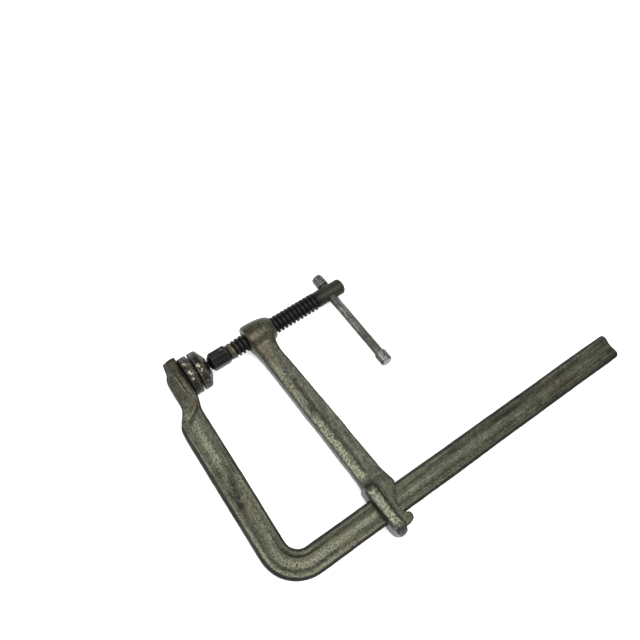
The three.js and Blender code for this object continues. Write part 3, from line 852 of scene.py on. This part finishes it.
def arm_wear_and_shade(o):
    p, normals = points_of(o), normals_of(o)
    x, y, height, upright = p[:, 0], p[:, 1], np.abs(p[:, 2]), np.abs(normals[:, 2])
    left, rib_right, right = curve_through(STATIONS, np.clip(y, ARM_LOW_Y, ARM_HIGH_Y))[:, :3].T
    face = smoothstep(0.65, 0.95, upright)
    side = smoothstep(0.7, 0.3, upright)
    on_arm = smoothstep(-20, -46, y) * smoothstep(-154, -150, y)
    drift = noise_at(zip(y / 7, np.full(len(p), 1.1), np.sign(p[:, 2])))
    rib = smoothstep(0.6, 1.6, x - left) * smoothstep(2.4, -2.0, x - rib_right + 2.4 * drift) * on_arm
    web = smoothstep(0, 3, x - rib_right) * on_arm * face
    on_bridge = smoothstep(-159, -163, y)
    bridge_top = on_bridge * smoothstep(12.4, 13.5, height) * smoothstep(0.55, 0.85, upright)
    bridge_side = smoothstep(8.4, 9.2, height) * on_bridge * (1 - bridge_top) * smoothstep(-200, -197, y)
    boss = smoothstep(-26, -8, y)
    bore_rim = stripe(radius_of(p), 9.6, 0.8) * (x < 54) * smoothstep(-4, 4, p[:, 2])
    spot = patch(p, (65, -82), (2.4, 6))
    # lighter rib, bridge top and bore rim: wear plus painted highlights
    rub_and_highlight = (1 - spot) * face * rib * (0.5 + 0.4 * smoothstep(-50, -130, y))
    rub_and_highlight = rub_and_highlight + 0.85 * bridge_top + 0.05 * boss + 0.7 * bore_rim
    arm_side = side * smoothstep(-16, -34, y) * (1 - bridge_side) * (x < 72)
    end = smoothstep(-200, -204, y) * (x < 80)
    bare = np.clip(arm_side + end + 0.2 * web, 0, 1) * (1 - bridge_top)
    # the bridge's sides and the faces by the rail are darkened as painted shade
    rail_side = side * (x > 79) * smoothstep(-150, -160, y)
    # painted shade on the faces lower than the bridge's top
    under_bridge_shade = smoothstep(-160, -164, y) * (1 - bridge_top) * (1 - bridge_side) * (1 - end) * face
    seam = stripe(x, right - 0.5, 0.5) * on_arm * face
    # painted shade in the dip where the rib meets the bridge
    dip_shade = stripe(y, -156.5, 2.6) * smoothstep(76, 72, x)
    dirt_and_shade = 0.6 * seam + 0.95 * spot + 0.25 * dip_shade + 0.42 * under_bridge_shade + 0.2 * web
    stain = 0.8 * patch(p, (58.5, -16), (6, 14)) * smoothstep(-2, 8, p[:, 2]) + 0.1 * boss
    side_scale_and_shade = 0.75 * bridge_side + 0.7 * rail_side
    wear_and_shade(o, rub_and_highlight=rub_and_highlight, side_scale_and_shade=side_scale_and_shade, stain=stain, dirt_and_shade=dirt_and_shade, edge=0.55, bare=bare, hollow_dirt_and_shade=0.12)
    flow_along(o, y, x)


def build_sliding_arm():
    o = arm_skin()
    round_bridge(o)
    roughen(o, [(30, 0.28), (9, 0.18), (3.6, 0.12), (1.9, 0.05)], 4.1)
    inner_y, outer_y, half = -THROAT + PLAY, -THROAT - RAIL_WIDTH - PLAY, EDGE_HALF + PLAY
    window = obj(box_mesh((40, outer_y, -half), (110, inner_y, half), "window"), "window")
    bore = turned([[40, 9.3], [51.4, 9.3], [52.8, BORE_R], [78.5, BORE_R], [80.5, 9.6], [92, 9.6]],
                  64, "bore")
    cut(o, window, bore)
    arm_wear_and_shade(o)
    return o


# ---------------------------------------------------------------- turned pieces

def thread_rings(angle):
    """The screw, with a ribbed shoulder worn golden at its start and a run-out into the head."""
    rings = []
    for x in np.arange(THREAD_X, THREAD_END_X + 1.01, 0.125):
        phase = ((x - THREAD_X) / PITCH - angle / TURN) % 1.0
        crest = smoothstep(0.34, 0.46, phase) * smoothstep(1.0, 0.88, phase)
        worn = THREAD_R - 0.5 * stripe(x, 39, 4.5)
        r = ROOT_R + (worn - ROOT_R) * crest if x > THREAD_X + 2.6 else ROOT_R
        ribbed = RIB_R + 0.2 * math.cos(TURN * (x - THREAD_X) / RIB_PITCH)
        on_shoulder = smoothstep(THREAD_X + 4.2, THREAD_X + 3.4, x) * smoothstep(-0.2, 0.4, x - THREAD_X)
        r = np.maximum(r, ribbed * on_shoulder)
        runout = smoothstep(THREAD_END_X - 2.5, THREAD_END_X + 0.6, x)
        rings.append(turned_ring(x, r * (1 - runout) + HEAD_R * runout, angle))
    return rings


def build_spindle():
    segments = 48
    rings = lathe_rings([
        [19.2, 4.2], [19.6, 4.7], [20.2, JOURNAL_R], [26.5, JOURNAL_R], [26.6, GROOVE_R],
        [30.2, GROOVE_R], [30.3, JOURNAL_R], [33.7, JOURNAL_R],
    ], segments)
    rings += thread_rings(turned_angles(segments))
    rings += lathe_rings([[x, HEAD_R] for x in (127.5, 130, 134, 138, 142, 147, 151)], segments)
    chamfer = [(2.5, 7.38), (2.0, 7.2), (1.3, 6.6), (0.6, 5.9), (0.2, 5.3), (0, 4.7)]
    rings += lathe_rings([[HEAD_END_X - back, r] for back, r in chamfer], segments)
    o = obj(grid_mesh(rings, "spindle_screw"), "spindle_screw")
    hole = turned([[-12, 5.4], [-7.6, 5.2], [-6.7, 4.5], [6.7, 4.5], [7.6, 5.2], [12, 5.4]], 48, "hole")
    hole.data.transform(bar_matrix())
    cut(o, hole)
    p = points_of(o)
    x, radius = p[:, 0], radius_of(p)
    in_thread = smoothstep(THREAD_X + 3, THREAD_X + 5, x) * smoothstep(THREAD_END_X, THREAD_END_X - 2, x)
    root = smoothstep(7.3, 6.4, radius) * in_thread
    # lighter thread crests and head: wear plus painted highlights; darker in the thread's roots
    rub_and_highlight = 0.15 * smoothstep(7.5, 7.9, radius) * in_thread + 0.25 * smoothstep(128, 130, x)
    golden = stripe(x, 36.2, 2.6) + 0.45 * smoothstep(44, 38, x) * smoothstep(7, 7.5, radius)
    golden = golden * (0.65 + 0.35 * np.cos(TURN * (x - THREAD_X) / RIB_PITCH))
    head = smoothstep(126, 132, x) * (radius > 7)
    stain = np.clip(golden, 0, 1) * smoothstep(6.6, 7, radius) + 0.12 * head
    wear_and_shade(o, rub_and_highlight=rub_and_highlight, stain=stain, dirt_and_shade=0.8 * root, edge=0.15)
    return o


def bar_matrix():
    turn = Matrix.Rotation(-BAR_TILT, 4, "X") @ Matrix.Rotation(-math.pi / 2, 4, "Z")
    return Matrix.Translation((BAR_X * MM, 0, 0)) @ turn


def build_tommy_bar():
    barrel = [[0, 4.4], [0.1, 4.8], [0.4, 5.1], [0.75, 5.15], [0.95, 5.0], [1.2, 5.3], [1.8, 5.5],
              [6, 5.55], [10.2, 5.5], [10.9, 5.35], [11.3, 4.95], [11.55, 4.4], [11.75, 3.9],
              [12.1, 3.85], [12.4, BAR_R]]
    low = [[-19.8 + back, r] for back, r in barrel]
    high = [[88 - back, r] for back, r in reversed(barrel)]
    o = turned(fine(low + high, 1.4), 48, "tommy_bar_steel")
    roughen(o, [(14, 0.12), (4, 0.06), (1.8, 0.03)], 8.8)
    x = points_of(o)[:, 0]
    groove = stripe(x, 76.1, 0.5) + 0.8 * stripe(x, 86.8, 0.3) + stripe(x, -7.9, 0.5)
    smudge = 0.6 * smoothstep(14, 8, np.abs(x)) + 0.55 * smoothstep(60, 72, x) * smoothstep(76, 74, x)
    wear_and_shade(o, stain=smudge, dirt_and_shade=0.9 * groove, edge=0.9)
    o.data.transform(bar_matrix())
    return o


def sleeve_rings(angle):
    """The collar's six-sided sleeve, chamfered at both ends."""
    hexagon = HEX_FLAT / np.cos((angle - SIXTH / 2) % SIXTH - SIXTH / 2)
    hexagon = np.minimum(hexagon, HEX_CORNER)
    limits = [(15.6, 5.9), (16.2, 6.7), (16.8, 7.5), (17.4, 8.2), (18.0, HEX_CORNER)]
    limits += [(x, 9) for x in np.arange(19, 31.1, 1.5)]
    limits += [(31.6, HEX_CORNER), (32.3, 8.0), (32.9, 7.4), (33.3, 7.0), (33.5, 6.6)]
    return [turned_ring(x, np.minimum(hexagon, limit), angle) for x, limit in limits]


def build_collar():
    segments = 96
    ball = [[BALL_X - BALL_R * math.cos(a), BALL_R * math.sin(a)]
            for a in np.linspace(0.25, math.pi - math.asin(NECK_R / BALL_R), 14)]
    neck = [[13.4, NECK_R], [14.4, NECK_R], [14.6, 3.6], [14.65, 4.8], [14.9, 5.3]]
    rings = lathe_rings(ball + neck, segments) + sleeve_rings(turned_angles(segments))
    o = obj(grid_mesh(rings, "collar_sleeve"), "collar_sleeve")
    bore = turned([[18.9, 5.3], [33, 5.3], [34, 5.8], [36, 6.2]], 64, "bore")
    hole = turned([[-12, 1.8], [12, 1.8]], 32, "hole")
    hole.data.transform(pin_matrix())
    cut(o, bore, hole)
    p = points_of(o)
    x, radius = p[:, 0], radius_of(p)
    from_corner = np.abs((np.arctan2(p[:, 2], p[:, 1]) + SIXTH / 2) % SIXTH - SIXTH / 2)
    sleeve = smoothstep(14.6, 15.2, x)
    # painted highlights, partly wear: lighter hex corners, chamfer rings and top flat; darker inside the
    # bore
    edges = stripe(from_corner, 0, 0.055) * smoothstep(17.6, 18.4, x) * smoothstep(32, 31.4, x)
    chamfer_highlights = 0.9 * stripe(x, 17.7, 0.35) + 0.9 * stripe(x, 31.9, 0.35) + 0.6 * stripe(x, 15.2, 0.4)
    top_flat_highlight = 0.4 * stripe(p[:, 1], 1.0, 1.4) * (np.abs(p[:, 2]) > 7)
    rub_and_highlight = (edges + chamfer_highlights + top_flat_highlight) * sleeve + 0.8 * smoothstep(14.7, 14.3, x)
    wear_and_shade(o, rub_and_highlight=rub_and_highlight, dirt_and_shade=0.5 * (radius < 5.6) * sleeve, edge=0.8)
    return o


def pin_matrix():
    return Matrix.Translation((PIN_X * MM, PIN_Y * MM, 0)) @ Matrix.Rotation(math.pi / 2, 4, "Y")


def build_pin():
    half = [[-7.2, 0.5], [-7.1, 0.9], [-6.85, 1.25], [-6.5, PIN_R], [-4, PIN_R], [-1, PIN_R]]
    o = turned(half + [[-x, r] for x, r in reversed(half)], 24, "collar_pin_steel")
    o.data.transform(pin_matrix())
    wear_and_shade(o, stain=0.9, dirt_and_shade=0.3, edge=0.4)
    return o


# ---------------------------------------------------------------- discs

def rim_share(r):
    """One on a disc's rim, falling to nought just inside it."""
    return smoothstep(DISC_R - 1.5, DISC_R - 0.5, r)


def spatter(o, beads, seed):
    """Presses low beads, (x, angle, size) rows, out of a disc's rim and returns where they are."""
    p, normals = points_of(o), normals_of(o)
    shift = np.zeros(len(p))
    for x, angle, size in beads:
        centre = np.array([x, DISC_R * math.cos(angle), DISC_R * math.sin(angle)])
        ragged = 1 + 0.5 * np.sin(5 * p[:, 1] + 3 * p[:, 2] + 4 * p[:, 0])
        distance = np.linalg.norm(p - centre, axis=1) * ragged
        shift = np.maximum(shift, size * np.exp(-(distance / size) ** 4))
    set_points(o, p + 0.4 * normals * shift[:, None])
    roughen(o, [(6, 0.35), (2.4, 0.2), (1.2, 0.1)], seed)
    return smoothstep(0.5, 0.8, shift)


def random_beads(count, low, high):
    return [(random.uniform(low, high), random.uniform(0, TURN), random.uniform(0.5, 0.9))
            for _ in range(count)]


def clip_face(o, low, high):
    """Keeps the disc part of a piece between two planes across X."""
    p = points_of(o)
    p[:, 0] = np.where(radius_of(p) > 6, np.clip(p[:, 0], low, high), p[:, 0])
    set_points(o, p)


def build_anvil():
    def ridged(x, r, angle):
        ridges = 0.1 * np.cos(46 * angle) + 0.16 * np.cos(x * 2.9 + 0.8 * np.sin(3 * angle))
        return x, r + rim_share(r) * (ridges - 0.25)

    profile = [[-16.6, 4.4], [-16, 5], [-7.3, 5], [-7.2, 10], [-7.2, 16.8], [-7.05, 17.3], [-6.8, DISC_R],
               [-0.25, DISC_R], [-0.05, 17.4], [0, 17.2], [0, 8]]
    o = turned(fine(profile, 0.45), 240, "anvil_plate", ridged)
    beads = [(-5.2, 1.08, 1.0), (-4.6, 1.17, 1.2), (-3.8, 1.25, 1.0), (-4.3, 1.66, 1.2), (-3.8, 1.76, 1.2),
             (-3.2, 1.87, 0.8), (-4.7, 2.02, 1.1)]
    light = spatter(o, beads + random_beads(4, -5.8, -1.0), 21.0)
    p = points_of(o)
    rub_and_highlight = 0.5 * stripe(p[:, 0], -1.6, 0.4) * (radius_of(p) > 16)
    # the disc's back, next to the arm's tip, is darkened as painted shade
    wear_and_shade(o, rub_and_highlight=rub_and_highlight, stain=light, dirt_and_shade=0.8 * (p[:, 0] < -6.9), edge=0.4)
    clip_face(o, -7.3, 0.0)
    return o


def build_pad():
    def hammered(x, r, angle):
        back = smoothstep(8.5, 10.5, x) * smoothstep(7.5, 11, r)
        dents = 0.25 * np.cos(9 * angle + 0.6) + 0.2 * np.cos(23 * angle)
        ridges = 0.12 * np.cos(x * 3.1 + np.sin(2 * angle)) - 0.2
        return x, r - back * dents + rim_share(r) * ridges

    profile = [[PAD_FACE_X, 8], [PAD_FACE_X, 17.2], [PAD_FACE_X + 0.05, 17.4], [PAD_FACE_X + 0.25, DISC_R],
               [7.6, DISC_R], [8.4, 17.25], [9.2, 16.3], [10.6, 13.6], [11.9, 10.9], [12.6, 9.5],
               [12.95, 8.6], [13, 7.6], [12.9, 5.2], [12.3, 4.6], [11.5, 4.0]]
    cup = BALL_R + 0.3
    inner = [[BALL_X - cup * math.cos(a), cup * math.sin(a)]
             for a in np.linspace(math.pi - math.asin(3.95 / cup), 0.25, 12)]
    o = turned(fine(profile, 0.45) + inner, 220, "pad_cup", hammered)
    beads = [(4.2, 1.55, 1.2), (4.9, 1.64, 1.0), (5.5, 1.84, 0.9), (4.7, 1.92, 0.8)]
    light = spatter(o, beads + random_beads(4, 2.8, 8), 31.0)
    p = points_of(o)
    x, radius = p[:, 0], radius_of(p)
    rub_and_highlight = 0.6 * stripe(x, 2.7, 0.4) * (radius > 16) + 0.35 * stripe(x, 8.7, 0.8) * (radius > 15.5)
    rub_and_highlight = rub_and_highlight + 0.5 * stripe(x, 12.9, 0.5) * (radius > 7.8)
    wear_and_shade(o, rub_and_highlight=rub_and_highlight, stain=light, dirt_and_shade=0.6 * (x < PAD_FACE_X + 0.05), edge=0.5)
    clip_face(o, PAD_FACE_X, 13.4)
    return o


# ---------------------------------------------------------------- assembly

rail_steel = forged("forged_steel_worn", (0.024, 0.0245, 0.016), (0.044, 0.045, 0.03), (0.088, 0.09, 0.062),
                    polish=1.6, spots=0.45, streak=0.24, grain=(28, 430, 430), brown=0.35, seed=0.0)
arm_steel = forged("forged_arm_worn", (0.028, 0.0285, 0.019), (0.052, 0.053, 0.0365), (0.1, 0.102, 0.072),
                   polish=1.65, spots=0.8, streak=0.14, grain=(30, 430, 430), brown=0.4, seed=40.0)
# Each piece with its body, the node that it replaces, the angle of its sharp edges and its material.
pieces = [
    (build_frame(), "frame", "frame", 40, rail_steel),
    (build_anvil(), "frame", "anvil_disc", 50, scorched("scorched_disc", 3.0)),
    (build_sliding_arm(), "sliding_arm", "sliding_arm", 40, arm_steel),
    (build_spindle(), "spindle", "spindle", 35, blackened("black_oxide", 0.5, 5.0)),
    (build_collar(), "collar", "collar", 30, blackened("black_oxide_collar", 0.2, 9.0)),
    (build_pin(), "collar", "collar_pin", 40, handled("pin_steel", (900, 900, 900), 12.0)),
    (build_pad(), "swivel_pad", "swivel_pad", 50, scorched("scorched_pad", 7.0)),
    (build_tommy_bar(), "tommy_bar", "tommy_bar", 40, handled("bar_steel_handled", (600, 34, 34), 1.0)),
]
for piece, body, node, angle, material in pieces:
    shade(piece, angle)
    piece.data.materials.clear()
    piece.data.materials.append(material)
    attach(piece, body)
    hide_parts(node)


# ---------------------------------------------------------------- floor, light, camera

FLOOR_HALF = 3000
CLAMP_MIDDLE = (0.13, -0.09, 0.0)


def build_floor():
    z = cad_box[0].z / MM
    corners = [[-FLOOR_HALF, -FLOOR_HALF, z], [FLOOR_HALF, -FLOOR_HALF, z],
               [FLOOR_HALF, FLOOR_HALF, z], [-FLOOR_HALF, FLOOR_HALF, z]]
    floor = obj(make_mesh(corners, [(0, 1, 2, 3)], "floor"), "floor")
    if floor.data.polygons[0].normal.z < 0:
        floor.data.flip_normals()
    paper = Nodes("paper")
    fibres = paper.noise(400, 2)
    colour = paper.ramp(paper.noise(3, 2), (0.0, 0.9), (1.0, 0.93))
    paper.finish(colour, paper.ramp(fibres, (0, 0.8), (1, 0.9)), 0.0, fibres, 0.00005)
    paper.bsdf.inputs["Emission Color"].default_value = (1, 1, 1, 1)
    paper.bsdf.inputs["Emission Strength"].default_value = 0.35
    floor.data.materials.append(paper.material)
    return floor


def light_room(colour, strength):
    """Even light from all round, as in a white photographic tent."""
    world = bpy.data.worlds.new("studio")
    scene.world = world
    world.use_nodes = True
    background = world.node_tree.nodes["Background"]
    background.inputs["Color"].default_value = colour
    background.inputs["Strength"].default_value = strength


def area_light(name, place, size, power, colour):
    data = bpy.data.lights.new(name, "AREA")
    data.shape, data.size, data.energy, data.color = "DISK", size, power, colour
    lamp = bpy.data.objects.new(name, data)
    lamp.location = place
    lamp.rotation_mode = "QUATERNION"
    lamp.rotation_quaternion = (Vector(CLAMP_MIDDLE) - Vector(place)).to_track_quat("-Z", "Y")
    scene.collection.objects.link(lamp)


def add_camera(place, turn_degrees, lens, shift):
    camera = bpy.data.objects.new("camera", bpy.data.cameras.new("camera"))
    camera.location = place
    camera.rotation_euler = [math.radians(a) for a in turn_degrees]
    camera.data.sensor_width, camera.data.lens = 36.0, lens
    camera.data.shift_x, camera.data.shift_y = shift
    camera.data.clip_start, camera.data.clip_end = 0.01, 20
    scene.collection.objects.link(camera)
    scene.camera = camera


build_floor()
light_room((0.95, 0.97, 1.0, 1), 0.85)
area_light("overhead", (0.2, -0.2, 1.25), size=1.0, power=16, colour=(1.0, 0.995, 0.98))
area_light("fill", (-0.85, 0.25, 0.8), size=0.9, power=6, colour=(0.95, 0.97, 1.0))
add_camera((-0.06284, -0.16255, 0.64117), (21.668, -7.195, -34.478), lens=42.75, shift=(-0.0234, -0.0547))
scene.view_settings.view_transform = "Standard"
